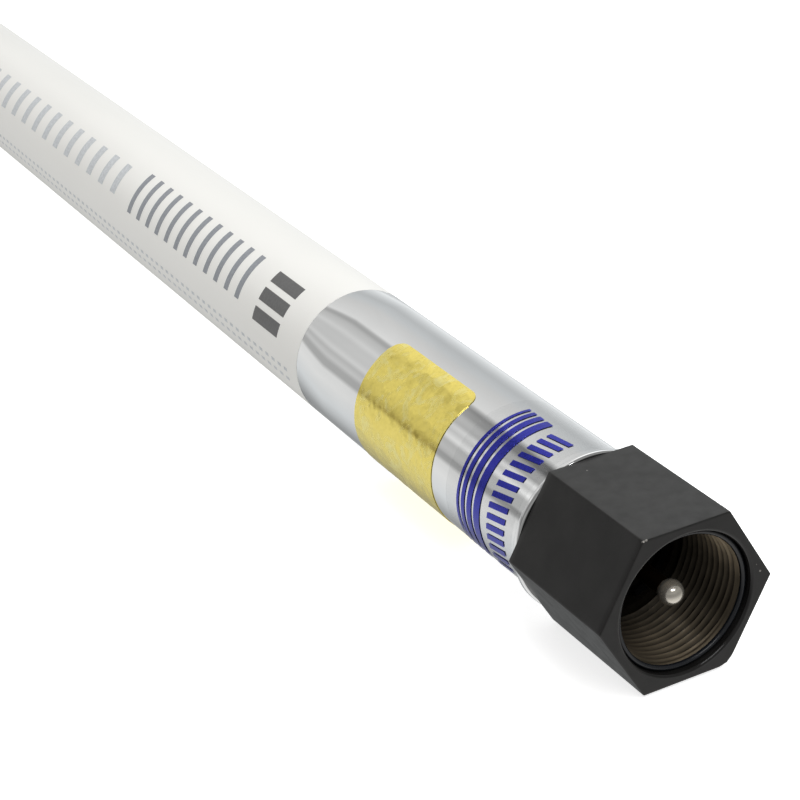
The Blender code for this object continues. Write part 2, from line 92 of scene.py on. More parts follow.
HEX_INRADIUS = (FERRULE_HIGH.z - FERRULE_LOW.z) / 2
SEAT_RADIUS = (INSULATOR_HIGH.z - INSULATOR_LOW.z) / 2


def along(y):
    """Distance of a frame position from the mouth."""
    return y - MOUTH_Y


def spot(radius, angle, distance):
    """Place at a radius and an angle in degrees about the axis, at a distance from the mouth."""
    turn = math.radians(angle)
    return Vector((radius * math.cos(turn), MOUTH_Y + distance, AXIS_Z + radius * math.sin(turn)))


# ---------------------------------------------------------------- settings

def length(name, text, value):
    return FloatProperty(name=name, description=text, default=value, unit="LENGTH", subtype="DISTANCE",
                         precision=5)


def color(name, text, value):
    return FloatVectorProperty(name=name, description=text, default=value, subtype="COLOR", size=3,
                               min=0.0, max=1.0)


def factor(name, text, value):
    return FloatProperty(name=name, description=text, default=value, subtype="FACTOR", min=0.0, max=1.0)


class FerruleSettings(bpy.types.PropertyGroup):
    """Sizes and finish of the hexagonal base."""
    corner_radius: length("Corner radius", "Rounding of the six long corners", 0.33 * MM)
    edge_radius: length("Edge radius", "Rounding of the hexagon's end edges", 0.18 * MM)
    mouth_radius: length("Mouth radius", "Radius of the step in the mouth", 13.2 * MM)
    mouth_depth: length("Mouth depth", "Depth of the step in the mouth", 2.2 * MM)
    mouth_chamfer: length("Mouth chamfer", "Rounding where the mouth meets the end face", 0.55 * MM)
    thread_radius: length("Thread radius", "Radius over the crests of the female thread", 12.0 * MM)
    thread_depth: length("Thread depth", "Depth of the thread's grooves", 0.8 * MM)
    thread_pitch: length("Thread pitch", "Distance from one turn to the next", 1.5 * MM)
    thread_length: length("Thread length", "Threaded length of the bore", 16.8 * MM)
    shell_color: color("Shell colour", "Colour of the black anodised shell", (0.0092, 0.0088, 0.0086))
    thread_color: color("Thread colour", "Colour of the cut thread", (0.44, 0.355, 0.24))
    roughness: factor("Roughness", "Roughness of the anodised shell", 0.40)


class SleeveSettings(bpy.types.PropertyGroup):
    """Sizes and finish of the chromed sleeve and what is stuck to it."""
    chrome_color: color("Chrome colour", "Reflected colour of the chrome", (0.86, 0.87, 0.88))
    gold_color: color("Gold colour", "Colour of the foil label", (1.0, 0.83, 0.195))
    gold_corner: length("Foil corner", "Corner radius of the foil label", 3.0 * MM)
    gold_crease: length("Foil crease", "Height of the creases in the foil", 0.06 * MM)
    ink_color: color("Ink colour", "Colour of the print on the clear film", (0.025, 0.03, 0.42))


class TubeSettings(bpy.types.PropertyGroup):
    """Finish of the white tube, its print and its cap."""
    tube_color: color("Tube colour", "Colour of the white tube", (0.87, 0.865, 0.835))
    print_color: color("Print colour", "Colour of the dark print", (0.12, 0.12, 0.12))
    middle_color: color("Grey print", "Colour of the slim print beyond it", (0.26, 0.275, 0.30))
    faint_color: color("Faint print", "Colour of the pale print further up", (0.53, 0.55, 0.57))
    roughness: factor("Roughness", "Roughness of the tube's skin", 0.38)


class ContactSettings(bpy.types.PropertyGroup):
    """Sizes and finish of the centre contact."""
    nose_radius: length("Nose radius", "Radius of the ball nose", 2.3 * MM)
    pin_radius: length("Pin radius", "Radius of the pin behind its nose", 1.6 * MM)
    nickel_color: color("Nickel colour", "Reflected colour of the pin", (0.80, 0.755, 0.67))
    travel: length("Travel", "How far the pin can be pushed in", 2.0 * MM)


class StudioSettings(bpy.types.PropertyGroup):
    """Floor, light and camera."""
    floor_color: color("Floor colour", "Colour of the pale floor", (0.90, 0.90, 0.90))
    floor_glow: FloatProperty(name="Floor glow", description="Light that the floor gives off itself",
                              default=0.72, min=0.0)
    sky_strength: FloatProperty(name="Surround", description="Strength of the light surround",
                                default=1.0, min=0.0)
    top_light: FloatProperty(name="Top light", description="Strength of the overhead light",
                             default=19.5, min=0.0)
    side_light: FloatProperty(name="Side light", description="Strength of the light at the left",
                              default=7.2, min=0.0)
    front_light: FloatProperty(name="Front light", description="Strength of the small light in front",
                               default=0.7, min=0.0)
    camera_offset: FloatVectorProperty(
        name="Camera", description="Camera's place from the middle of the mouth",
        default=(-0.17655, -0.24544, 0.19128), size=3, unit="LENGTH", subtype="TRANSLATION")
    camera_turn: FloatVectorProperty(
        name="Camera turn", description="Camera's rotation",
        default=(math.radians(63.293), math.radians(3.240), math.radians(-28.741)), size=3,
        unit="ROTATION", subtype="EULER")
    lens: FloatProperty(name="Lens", description="Focal length on a 36 mm sensor", default=95.9,
                        min=10.0, unit="CAMERA")


# ---------------------------------------------------------------- materials

class Shader:
    """A Principled material and short ways to build its nodes."""

    def __init__(self, name):
        self.material = bpy.data.materials.new(name)
        self.material.use_nodes = True
        self.tree = self.material.node_tree
        self.principled = self.tree.nodes["Principled BSDF"]

    def set(self, **values):
        """Set sockets by name, with underscores for spaces."""
        for key, value in values.items():
            socket = self.principled.inputs[key.replace("_", " ").title().replace("Ior", "IOR")]
            if socket.type == "RGBA":
                value = (*value, 1.0)
            socket.default_value = value
        return self

    def add(self, kind, **settings):
        node = self.tree.nodes.new(kind)
        for key, value in settings.items():
            setattr(node, key, value)
        return node

    def link(self, output, target):
        self.tree.links.new(output, target)

    def place(self, stretch=(1.0, 1.0, 1.0)):
        """Position on the object, stretched along its axes."""
        coordinates = self.add("ShaderNodeTexCoord")
        mapping = self.add("ShaderNodeMapping")
        mapping.inputs["Scale"].default_value = stretch
        self.link(coordinates.outputs["Object"], mapping.inputs["Vector"])
        return mapping.outputs["Vector"]

    def noise(self, scale, detail=3.0, stretch=(1.0, 1.0, 1.0), roughness=0.5, distortion=0.0):
        node = self.add("ShaderNodeTexNoise")
        node.inputs["Scale"].default_value = scale
        node.inputs["Detail"].default_value = detail
        node.inputs["Roughness"].default_value = roughness
        node.inputs["Distortion"].default_value = distortion
        self.link(self.place(stretch), node.inputs["Vector"])
        return node.outputs["Fac"]

    def cells(self, scale, stretch=(1.0, 1.0, 1.0), feature="F1"):
        node = self.add("ShaderNodeTexVoronoi", feature=feature)
        node.inputs["Scale"].default_value = scale
        self.link(self.place(stretch), node.inputs["Vector"])
        return node.outputs["Distance"]

    def span(self, value, low, high, out_low=0.0, out_high=1.0):
        """Map a value from one range to another, kept inside it."""
        node = self.add("ShaderNodeMapRange", clamp=True)
        self.link(value, node.inputs["Value"])
        for key, number in zip(("From Min", "From Max", "To Min", "To Max"), (low, high, out_low, out_high)):
            node.inputs[key].default_value = number
        return node.outputs["Result"]

    def near(self, place, reach, strength):
        """Strength at a place on the object, falling to nothing within its reach."""
        coordinates = self.add("ShaderNodeTexCoord")
        gap = self.add("ShaderNodeVectorMath", operation="DISTANCE")
        gap.inputs[1].default_value = place
        self.link(coordinates.outputs["Object"], gap.inputs[0])
        return self.span(gap.outputs["Value"], 0.3 * reach, reach, strength, 0.0)

    def attribute(self, name):
        node = self.add("ShaderNodeAttribute", attribute_name=name)
        return node.outputs["Fac"]

    def math(self, operation, first, second):
        node = self.add("ShaderNodeMath", operation=operation)
        for socket, value in zip(node.inputs, (first, second)):
            if isinstance(value, (int, float)):
                socket.default_value = value
            else:
                self.link(value, socket)
        return node.outputs["Value"]

    def mix(self, amount, first, second):
        """Colour between two colours or sockets."""
        node = self.add("ShaderNodeMix", data_type="RGBA")
        self.link(amount, node.inputs["Factor"])
        for socket, value in ((node.inputs[6], first), (node.inputs[7], second)):
            if isinstance(value, bpy.types.NodeSocket):
                self.link(value, socket)
            else:
                socket.default_value = (*value, 1.0)
        return node.outputs[2]

    def bump(self, height, distance, strength=1.0, under=None):
        node = self.add("ShaderNodeBump")
        node.inputs["Distance"].default_value = distance
        node.inputs["Strength"].default_value = strength
        self.link(height, node.inputs["Height"])
        if under is not None:
            self.link(under, node.inputs["Normal"])
        return node.outputs["Normal"]

    def drive(self, **outputs):
        """Link node outputs to the shader's sockets."""
        for key, output in outputs.items():
            self.link(output, self.principled.inputs[key.replace("_", " ").title()])
        return self


def shade(tint, amount):
    """A colour made darker or lighter."""
    return tuple(min(1.0, channel * amount) for channel in tint)


def anodised_material(settings):
    """Satin black anodising with fine grain, handling marks and bare metal on worn edges."""
    shader = Shader("black_anodised_shell").set(specular_ior_level=0.46)
    tint = tuple(settings.shell_color)
    cloud = shader.span(shader.noise(180.0, 4.0), 0.35, 0.65)
    base = shader.mix(cloud, shade(tint, 0.8), shade(tint, 1.25))
    speck = shader.noise(2600.0, 2.0)
    worn = shader.attribute("wear")
    for place, reach, strength in SCUFFS:
        worn = shader.math("ADD", worn, shader.near(place, reach, strength))
    ragged = shader.math("MULTIPLY", worn, shader.span(shader.noise(1700.0, 3.0), 0.35, 0.65, 0.2, 1.0))
    smooth_cut = shader.span(shader.attribute("cut"), 0.0, 1.0, 1.0, 0.3)
    bare = shader.span(ragged, 0.22, 0.75)
    base = shader.mix(bare, base, (0.50, 0.48, 0.45))
    low, high = settings.roughness - 0.05, settings.roughness + 0.06
    rough = shader.span(shader.noise(420.0, 3.0), 0.3, 0.7, low, high)
    rough = shader.math("MULTIPLY", rough, smooth_cut)
    normal = shader.bump(speck, 0.004 * MM, 0.6)
    metal = shader.math("MULTIPLY", bare, 0.85)
    shader.drive(base_color=base, roughness=rough, metallic=metal, normal=normal)
    return shader.material


def thread_material(settings):
    """Cut thread under thin anodising: brown crests, with painted shade in the groove roots, the deep turns and
    parts of the bore by angle.
    """
    shader = Shader("cut_thread").set(metallic=0.7, specular_ior_level=0.5)
    tint = tuple(settings.thread_color)
    streak = shader.noise(60.0, 3.0, stretch=(1.0, 30.0, 1.0))
    tone = shader.mix(shader.span(streak, 0.3, 0.7), shade(tint, 0.75), shade(tint, 1.2))
    # Painted shade: a low cut value darkens the groove roots and the relief and seat beyond the thread.
    tone = shader.mix(shader.attribute("cut"), shade(tint, 0.06), tone)
    # Painted shade: the depth value darkens the deep turns and parts of the bore by angle.
    tone = shader.mix(shader.attribute("depth"), tone, shade(tint, 0.07))
    rough = shader.span(shader.noise(700.0, 2.0), 0.3, 0.7, 0.42, 0.56)
    shader.drive(base_color=tone, roughness=rough, normal=shader.bump(streak, 0.01 * MM, 0.5))
    return shader.material


def rubber_material():
    """Oiled black seal."""
    shader = Shader("oiled_rubber").set(base_color=(0.006, 0.0075, 0.011), specular_ior_level=0.5)
    film = shader.noise(500.0, 3.0)
    shader.drive(roughness=shader.span(film, 0.3, 0.7, 0.16, 0.34), normal=shader.bump(film, 0.01 * MM, 0.3))
    return shader.material


def chrome_material(settings):
    """Mirror chrome with faint drawn streaks along the axis and wiping marks."""
    shader = Shader("mirror_chrome").set(metallic=1.0)
    tint = tuple(settings.chrome_color)
    drawn = shader.noise(1.0, 4.0, stretch=(1500.0, 6.0, 1500.0))
    smear = shader.noise(70.0, 3.0, stretch=(1.0, 0.4, 1.0), distortion=0.6)
    base = shader.mix(shader.span(smear, 0.35, 0.7), tint, shade(tint, 0.93))
    rough = shader.span(smear, 0.3, 0.7, 0.03, 0.085)
    normal = shader.bump(drawn, 0.0011 * MM, 0.5)
    shader.drive(base_color=base, roughness=rough, normal=normal)
    return shader.material


def gold_material(settings):
    """Embossed gold foil with crinkles, pale patches of painted highlight and a painted dark reflection."""
    shader = Shader("gold_foil").set(metallic=0.70, specular_ior_level=0.5)
    tint = tuple(settings.gold_color)
    crinkle = shader.cells(420.0, stretch=(1.0, 0.7, 1.0))
    grain = shader.noise(1500.0, 3.0)
    glint_mask = shader.noise(230.0, 4.0, distortion=1.6)
    # Painted highlight: pale patches in the foil's colour stand for glints off its crinkles.
    base = shader.mix(shader.span(glint_mask, 0.50, 0.66), tint, (1.0, 0.90, 0.34))
    base = shader.mix(shader.span(grain, 0.45, 0.75), base, shade(tint, 0.88))
    uneven = shader.span(shader.noise(700.0), 0.38, 0.58, 0.35, 1.0)
    # Painted reflection: a long dark line in the foil's colour, ragged at its edges.
    ragged_dark_line = shader.math("MULTIPLY", shader.attribute("fold"), uneven)
    base = shader.mix(ragged_dark_line, base, (0.42, 0.31, 0.045))
    normal = shader.bump(grain, 0.014 * MM, 0.6)
    normal = shader.bump(crinkle, 0.10 * MM, 0.8, under=normal)
    shader.drive(base_color=base, roughness=shader.span(glint_mask, 0.3, 0.7, 0.16, 0.34), normal=normal)
    return shader.material


def film_material():
    """Clear label film."""
    shader = Shader("clear_film").set(base_color=(0.40, 0.41, 0.43), alpha=0.03, specular_ior_level=0.4)
    waves = shader.noise(120.0, 2.0)
    shader.drive(roughness=shader.span(waves, 0.3, 0.7, 0.08, 0.2), normal=shader.bump(waves, 0.02 * MM, 0.2))
    return shader.material


def ink_material(settings):
    """Transparent blue ink seen against chrome, so it darkens and tints what the chrome shows."""
    shader = Shader("blue_ink").set(metallic=0.85, coat_weight=0.25, coat_roughness=0.1)
    tint = tuple(settings.ink_color)
    dots = shader.noise(2400.0, 2.0)
    base = shader.mix(shader.span(dots, 0.35, 0.65), shade(tint, 0.85), shade(tint, 1.15))
    shader.drive(base_color=base, roughness=shader.span(dots, 0.3, 0.7, 0.18, 0.3))
    return shader.material


def fibreglass_material(settings):
    """White gelcoat over wound glass: a faint weave print-through and cloudy tone."""
    shader = Shader("white_gelcoat").set(specular_ior_level=0.5, coat_weight=0.15, coat_roughness=0.15)
    tint = tuple(settings.tube_color)
    cloud = shader.noise(24.0, 4.0, stretch=(1.0, 0.35, 1.0))
    strands = shader.noise(1.0, 3.0, stretch=(700.0, 12.0, 700.0))
    base = shader.mix(shader.span(cloud, 0.35, 0.65), shade(tint, 0.97), shade(tint, 1.02))
    low, high = settings.roughness - 0.05, settings.roughness + 0.07
    normal = shader.bump(strands, 0.006 * MM, 0.35)
    shader.drive(base_color=base, roughness=shader.span(strands, 0.3, 0.7, low, high), normal=normal)
    return shader.material


def printed_material(name, tint):
    """Screen-printed ink with a slightly uneven edge to its cover."""
    shader = Shader(name).set(specular_ior_level=0.4)
    cover = shader.noise(1800.0, 3.0)
    base = shader.mix(shader.span(cover, 0.35, 0.7), tint, shade(tint, 1.25))
    shader.drive(base_color=base, roughness=shader.span(cover, 0.3, 0.7, 0.38, 0.52))
    return shader.material


def turned_metal_material(name, tint, rough, polish=0.0, metal=1.0):
    """Turned metal: fine rings round the axis and a little tarnish."""
    shader = Shader(name).set(metallic=metal)
    rings = shader.noise(1.0, 2.0, stretch=(40.0, 5200.0, 40.0))
    tarnish = shader.noise(240.0, 4.0)
    base = shader.mix(shader.span(tarnish, 0.35, 0.7), tint, shade(tint, 0.78))
    low = max(0.04, rough - 0.07)
    normal = shader.bump(rings, 0.003 * MM, 0.5 * (1.0 - polish))
    shader.drive(base_color=base, roughness=shader.span(tarnish, 0.3, 0.7, low, rough + 0.08), normal=normal)
    return shader.material


def plastic_material(name, tint, rough, grain=900.0, shine=0.5):
    """Moulded plastic with a fine spark-eroded grain."""
    shader = Shader(name).set(specular_ior_level=shine)
    pits = shader.noise(grain, 3.0)
    cloud = shader.noise(90.0, 3.0)
    base = shader.mix(shader.span(cloud, 0.35, 0.65), shade(tint, 0.9), shade(tint, 1.08))
    normal = shader.bump(pits, 0.02 * MM, 0.4)
    uneven = shader.span(pits, 0.3, 0.7, rough - 0.06, rough + 0.08)
    shader.drive(base_color=base, roughness=uneven, normal=normal)
    return shader.material


def foam_material():
    """Closed-cell foam: small pits all over."""
    shader = Shader("white_foam").set(specular_ior_level=0.3)
    pits = shader.cells(1300.0)
    base = shader.mix(shader.span(pits, 0.0, 0.6), (0.62, 0.61, 0.57), (0.84, 0.83, 0.79))
    shader.set(roughness=0.9).drive(base_color=base, normal=shader.bump(pits, 0.15 * MM, 0.7))
    return shader.material


def enamel_material():
    """Enamelled copper wire."""
    shader = Shader("enamelled_copper").set(metallic=0.9, coat_weight=0.4, coat_roughness=0.12)
    tone = shader.noise(300.0, 3.0)
    base = shader.mix(shader.span(tone, 0.35, 0.65), (0.52, 0.20, 0.09), (0.72, 0.34, 0.17))
    shader.drive(base_color=base, roughness=shader.span(tone, 0.3, 0.7, 0.2, 0.34))
    return shader.material


# ---------------------------------------------------------------- mesh making

def add_object(name, data):
    """An object in the scene that shows some data."""
    item = bpy.data.objects.new(name, data)
    bpy.context.collection.objects.link(item)
    return item


def add_piece(name, bm, materials, body, nodes):
    """Turn a bmesh into a smooth-shaded piece that rides on a body and stands for CAD nodes."""
    bmesh.ops.recalc_face_normals(bm, faces=bm.faces)
    mesh = bpy.data.meshes.new(name)
    bm.to_mesh(mesh)
    bm.free()
    for material in materials:
        mesh.materials.append(material)
    mesh.shade_smooth()
    mesh.set_sharp_from_angle(angle=math.radians(32))
    piece = add_object(name, mesh)
    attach(piece, body)
    if nodes:
        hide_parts(*nodes)
    return piece


def join_rings(bm, rings, closed_loop):
    """Quads between neighbouring rings of vertices; a closed loop also joins last to first."""
    pairs = list(zip(rings, rings[1:]))
    if closed_loop:
        pairs.append((rings[-1], rings[0]))
    faces = []
    for ring, following in pairs:
        count = len(ring)
        for index in range(count):
            after = (index + 1) % count
            faces.append(bm.faces.new((ring[index], ring[after], following[after], following[index])))
    return faces


def turned(profile, segments=192):
    """Spin a closed profile of (radius, distance) points; ends on the axis become single points."""
    bm = bmesh.new()
    on_axis = profile[0][0] == 0.0 and profile[-1][0] == 0.0
    inner = profile[1:-1] if on_axis else profile
    angles = [360.0 * step / segments for step in range(segments)]
    rings = [[bm.verts.new(spot(radius, angle, distance)) for angle in angles] for radius, distance in inner]
    join_rings(bm, rings, closed_loop=not on_axis)
    if on_axis:
        for ring, (_, distance) in ((rings[0], profile[0]), (rings[-1], profile[-1])):
            tip = bm.verts.new(spot(0.0, 0.0, distance))
            for index in range(segments):
                bm.faces.new((ring[index], ring[(index + 1) % segments], tip))
    return bm


def arc(center_radius, center, radius, start, end, steps):
    """(radius, distance) points on an arc; 0 degrees points outward and 90 towards the tip."""
    points = []
    for step in range(steps + 1):
        angle = math.radians(start + (end - start) * step / steps)
        points.append((center_radius + radius * math.cos(angle), center + radius * math.sin(angle)))
    return points


def wire_piece(name, points, radius, material, body, nodes, sides=14):
    """A round wire along points, with domed ends."""
    bm = bmesh.new()
    tangents = [(points[min(i + 1, len(points) - 1)] - points[max(i - 1, 0)]).normalized()
                for i in range(len(points))]
    side = tangents[0].orthogonal().normalized()
    rings = []

    def ring(center, normal, size):
        across = normal.cross(side).normalized()
        rings.append([bm.verts.new(center + size * (math.cos(turn) * side + math.sin(turn) * across))
                      for turn in (2 * math.pi * number / sides for number in range(sides))])

    for point, tangent in zip(points, tangents):
        side = (side - tangent * side.dot(tangent)).normalized()
        if point is points[0]:
            ring(point - tangent * radius * 0.5, tangent, radius * 0.8)
        ring(point, tangent, radius)
        if point is points[-1]:
            ring(point + tangent * radius * 0.5, tangent, radius * 0.8)
    join_rings(bm, rings, closed_loop=False)
    bm.faces.new(rings[0])
    bm.faces.new(rings[-1])
    return add_piece(name, bm, [material], body, nodes)


def wrapped_patch(bm, corners, radius, thickness, step=0.5 * MM):
    """A thin plate bent round the axis.

    The corners are four (angle, distance) pairs in order; the plate is the smooth sheet between
    them, cut finely enough to follow the round surface.
    """
    first, second, third, fourth = [Vector(corner) for corner in corners]
    arc_step = math.degrees(step / radius)
    across = max(abs(second.x - first.x), abs(third.x - fourth.x))
    columns = max(1, math.ceil(across / arc_step))
    leaning = max(abs(fourth.x - first.x), abs(third.x - second.x))
    rows = max(1, math.ceil(leaning / arc_step))
    layers = []
    for height in (radius, radius + thickness):
        grid = []
        for row in range(rows + 1):
            left = first.lerp(fourth, row / rows)
            right = second.lerp(third, row / rows)
            line = [left.lerp(right, column / columns) for column in range(columns + 1)]
            grid.append([bm.verts.new(spot(height, point.x, point.y)) for point in line])
        layers.append(grid)
    close_layers(bm, *layers)


def close_layers(bm, below, above):
    """Faces of two matching vertex grids and of the rim that joins them."""
    rows, columns = len(below), len(below[0])
    for grid in (below, above):
        for row in range(rows - 1):
            for column in range(columns - 1):
                bm.faces.new((grid[row][column], grid[row][column + 1],
                              grid[row + 1][column + 1], grid[row + 1][column]))
    rim = [(0, column) for column in range(columns)]
    rim += [(row, columns - 1) for row in range(1, rows)]
    rim += [(rows - 1, column) for column in range(columns - 2, -1, -1)]
    rim += [(row, 0) for row in range(rows - 2, 0, -1)]
    for (row, column), (next_row, next_column) in zip(rim, rim[1:] + rim[:1]):
        bm.faces.new((below[row][column], below[next_row][next_column],
                      above[next_row][next_column], above[row][column]))


# ---------------------------------------------------------------- ferrule

HALF_CORNER = math.cos(math.radians(30))        # inradius over the distance to a corner
CORNER_ANGLES = [60.0 * number for number in range(6)]
KNOCKED_CORNER = 300.0      # a corner that has taken a knock
CHIPPED_CORNER = 120.0      # a corner with a bright chip
# Scuffs on the shell: place, reach and strength
SCUFFS = (
    (Vector((-0.0086, -0.5999, 0.0305)), 0.42 * MM, 0.95),
    (Vector((-0.0080, -0.5999, 0.0305)), 0.34 * MM, 0.85),
    (Vector((-0.0030, -0.5750, 0.0306)), 0.45 * MM, 0.50),
    (Vector((-0.0022, -0.5745, 0.0306)), 0.38 * MM, 0.46),
    (Vector((0.0150, -0.6, 0.0170)), 0.35 * MM, 0.9),
    (Vector((0.0142, -0.6, 0.0185)), 0.2 * MM, 0.7),
)


def corner_arc(inradius, corner_radius):
    """Distance from the axis to a rounded corner's centre, and half the angle that the arc covers."""
    center = (inradius - corner_radius) / HALF_CORNER
    tangent = math.degrees(math.atan2(corner_radius * 0.5, center + corner_radius * HALF_CORNER))
    return center, tangent


def hexagon_angles(corner_radius):
    """Angles of the columns round the ferrule: closer together over each rounded corner."""
    _, tangent = corner_arc(HEX_INRADIUS, corner_radius)
    angles = []
    corner_steps, flat_steps = 4, 52
    for corner in CORNER_ANGLES:
        for step in range(corner_steps):
            angles.append(corner - tangent + 2 * tangent * step / corner_steps)
        for step in range(flat_steps):
            angles.append(corner + tangent + (60.0 - 2 * tangent) * step / flat_steps)
    return angles


def hexagon_radius(angle, corner_radius, inset):
    """Distance from the axis to the rounded hexagon, moved in by an inset."""
    inradius = HEX_INRADIUS - inset
    off_corner = (angle + 30.0) % 60.0 - 30.0
    center, tangent = corner_arc(inradius, corner_radius)
    turn = math.radians(off_corner)
    if abs(off_corner) < tangent:
        reach = corner_radius ** 2 - (center * math.sin(turn)) ** 2
        return center * math.cos(turn) + math.sqrt(max(0.0, reach))
    return inradius / math.cos(math.radians(30.0 - abs(off_corner)))


def dent(angle, distance, corner, depth, reach):
    """How far a dent in a front corner is pushed in, at an angle and a distance from the mouth."""
    off = math.radians((angle - corner + 180.0) % 360.0 - 180.0) * HEX_INRADIUS / HALF_CORNER
    return depth * math.exp(-(off * off + distance * distance) / (reach * reach))


def thread_groove(angle, distance, settings):
    """Depth of the helical groove, from 0 on a crest to 1 at the root; it fades in at the mouth."""
    turns = distance / settings.thread_pitch + angle / 360.0
    off = abs(turns % 1.0 - 0.5)
    groove = max(0.0, min(1.0, (0.46 - off) / 0.36))
    fade_in = min(1.0, max(0.0, (distance - settings.mouth_depth - 0.2 * MM) / (0.8 * MM)))
    return groove * fade_in


# Painted shade round the bore, darker at some angles than at others: angle and strength
BORE_SHADE = ((0.0, 0.82), (20.0, 0.40), (42.0, 0.0), (110.0, 0.0), (140.0, 0.3), (180.0, 0.7), (240.0, 0.80),
         (272.0, 0.55), (295.0, 0.72), (325.0, 0.92), (360.0, 0.82))


def bore_shade(angle):
    """Strength of the painted shade at an angle, between the listed ones."""
    for (low, first), (high, second) in zip(BORE_SHADE, BORE_SHADE[1:]):
        if angle <= high:
            return first + (second - first) * (angle - low) / (high - low)
    return BORE_SHADE[-1][1]


def ferrule_rings(settings, angles):
    """Rings of (place, wear, cut) from the stub over the hexagon into the mouth; cut is 1 where the
    surface was turned smooth."""
    rings = []
    hex_length = along(SLEEVE_LOW.y) - 0.25 * MM
    spigot_end = along(FERRULE_HIGH.y)
    spigot_radius = TUBE_RADIUS - 1.3 * MM
    edge = settings.edge_radius

    def round_ring(radius, distance, cut=1.0):
        rings.append([(spot(radius, angle, distance), 0.0, cut) for angle in angles])

    def hex_ring(inset, distance, worn=0.0):
        ring = []
        for angle in angles:
            radius = hexagon_radius(angle, settings.corner_radius, inset)
            radius -= dent(angle, distance, KNOCKED_CORNER, 0.42 * MM, 1.0 * MM)
            radius -= dent(angle, distance, CHIPPED_CORNER, 0.08 * MM, 0.28 * MM)
            ring.append((spot(radius, angle, distance), worn, 0.0))
        rings.append(ring)

    round_ring(spigot_radius, spigot_end)
    round_ring(spigot_radius, hex_length)
    back_steps, edge_steps, side_steps, mouth_steps = 4, 3, 24, 6
    for step in range(back_steps, 0, -1):
        hex_ring(edge + step * 0.4 * MM, hex_length)
    for step in range(edge_steps + 1):
        turn = math.radians(90.0 * step / edge_steps)
        hex_ring(edge * (1 - math.sin(turn)), hex_length - edge * (1 - math.cos(turn)), 0.12)
    for step in range(1, side_steps):
        hex_ring(0.0, hex_length - edge - (hex_length - 2 * edge) * step / side_steps)
    for step in range(edge_steps + 1):
        turn = math.radians(90.0 * step / edge_steps)
        hex_ring(edge * (1 - math.cos(turn)), edge * (1 - math.sin(turn)), 0.12)
    hex_ring(edge + 0.25 * MM, 0.0)

    chamfer = settings.mouth_chamfer
    round_ring(settings.mouth_radius + chamfer + 0.1 * MM, 0.0, 0.0)
    for step in range(mouth_steps + 1):
        turn = math.radians(90.0 * step / mouth_steps)
        round_ring(settings.mouth_radius + chamfer * (1 - math.sin(turn)), chamfer * (1 - math.cos(turn)))
    round_ring(settings.mouth_radius, settings.mouth_depth - 0.05 * MM)
    round_ring(settings.mouth_radius - 0.05 * MM, settings.mouth_depth)
    return rings, spigot_end


def bore_rings(settings, angles, spigot_end):
    """Rings of the threaded bore, the seat and the stub's own bore."""
    rings = []
    samples = 14
    lead_in = 0.62 * MM
    lead_length = 0.9 * MM
    steps = round(settings.thread_length / settings.thread_pitch * samples)
    for step in range(steps + 1):
        distance = settings.mouth_depth + settings.thread_length * step / steps
        entry = max(0.0, 1.0 - (distance - settings.mouth_depth) / lead_length)
        ring = []
        for angle in angles:
            groove = thread_groove(angle, distance, settings)
            radius = settings.thread_radius + lead_in * entry
            radius = max(radius, settings.thread_radius + settings.thread_depth * groove)
            # Painted shade: the cut value, low in the groove, darkens the thread's roots.
            ring.append((spot(radius, angle, distance), 0.0, 1.0 - groove))
        rings.append(ring)
    thread_end = settings.mouth_depth + settings.thread_length
    relief_end = thread_end + 0.2 * MM
    seat = SEAT_RADIUS + 0.3 * MM
    stub_bore = (FORMER_HIGH.z - FORMER_LOW.z) / 2 + 0.3 * MM
    relief = settings.thread_radius + settings.thread_depth + 0.1 * MM
    seat_end = along(INSULATOR_HIGH.y) + 0.3 * MM
    # Painted shade: a cut value of 0.3 darkens the thread material on the relief and the seat.
    for radius, distance in ((relief, thread_end + 0.05 * MM), (relief, relief_end), (seat, relief_end),
                             (seat, seat_end), (stub_bore, seat_end), (stub_bore, spigot_end)):
        rings.append([(spot(radius, angle, distance), 0.0, 0.3) for angle in angles])
    return rings


class ANTENNA_OT_ferrule(bpy.types.Operator):
    """Add the black hexagonal base with its threaded bore"""
    bl_idname = "antenna.ferrule"
    bl_label = "Hexagonal base"

    def execute(self, context):
        settings = context.scene.antenna_ferrule
        angles = hexagon_angles(settings.corner_radius)
        outer, spigot_end = ferrule_rings(settings, angles)
        inner = bore_rings(settings, angles, spigot_end)
        bm = bmesh.new()
        wear = bm.verts.layers.float.new("wear")
        cut = bm.verts.layers.float.new("cut")
        depth = bm.verts.layers.float.new("depth")
        thread_end = settings.mouth_depth + settings.thread_length
        rings = []
        for points in outer + inner:
            ring = []
            for place, worn, smooth in points:
                vert = bm.verts.new(place)
                vert[wear] = worn
                vert[cut] = smooth
                # Painted shade: the depth value darkens the thread deeper in the bore and at the listed angles
                # round it.
                angle_shade = bore_shade(math.degrees(math.atan2(place.z - AXIS_Z, place.x)) % 360.0)
                lit_reach = 4.0 * MM * (1.0 - angle_shade)
                fade = min(1.0, max(0.0, (along(place.y) - 6.0 * MM - lit_reach) / (thread_end - 7.0 * MM)))
                vert[depth] = 1.0 - (1.0 - fade) * (1.0 - angle_shade)
                ring.append(vert)
            rings.append(ring)
        join_rings(bm, rings, closed_loop=True)
        bore_start = len(outer) - 1
        columns = len(angles)
        for index, face in enumerate(bm.faces):
            face.material_index = 1 if bore_start <= index // columns < len(rings) - 2 else 0
        materials = [anodised_material(settings), thread_material(settings)]
        add_piece("hexagonal_base", bm, materials, ANTENNA, ["hex_ferrule"])
        return {"FINISHED"}


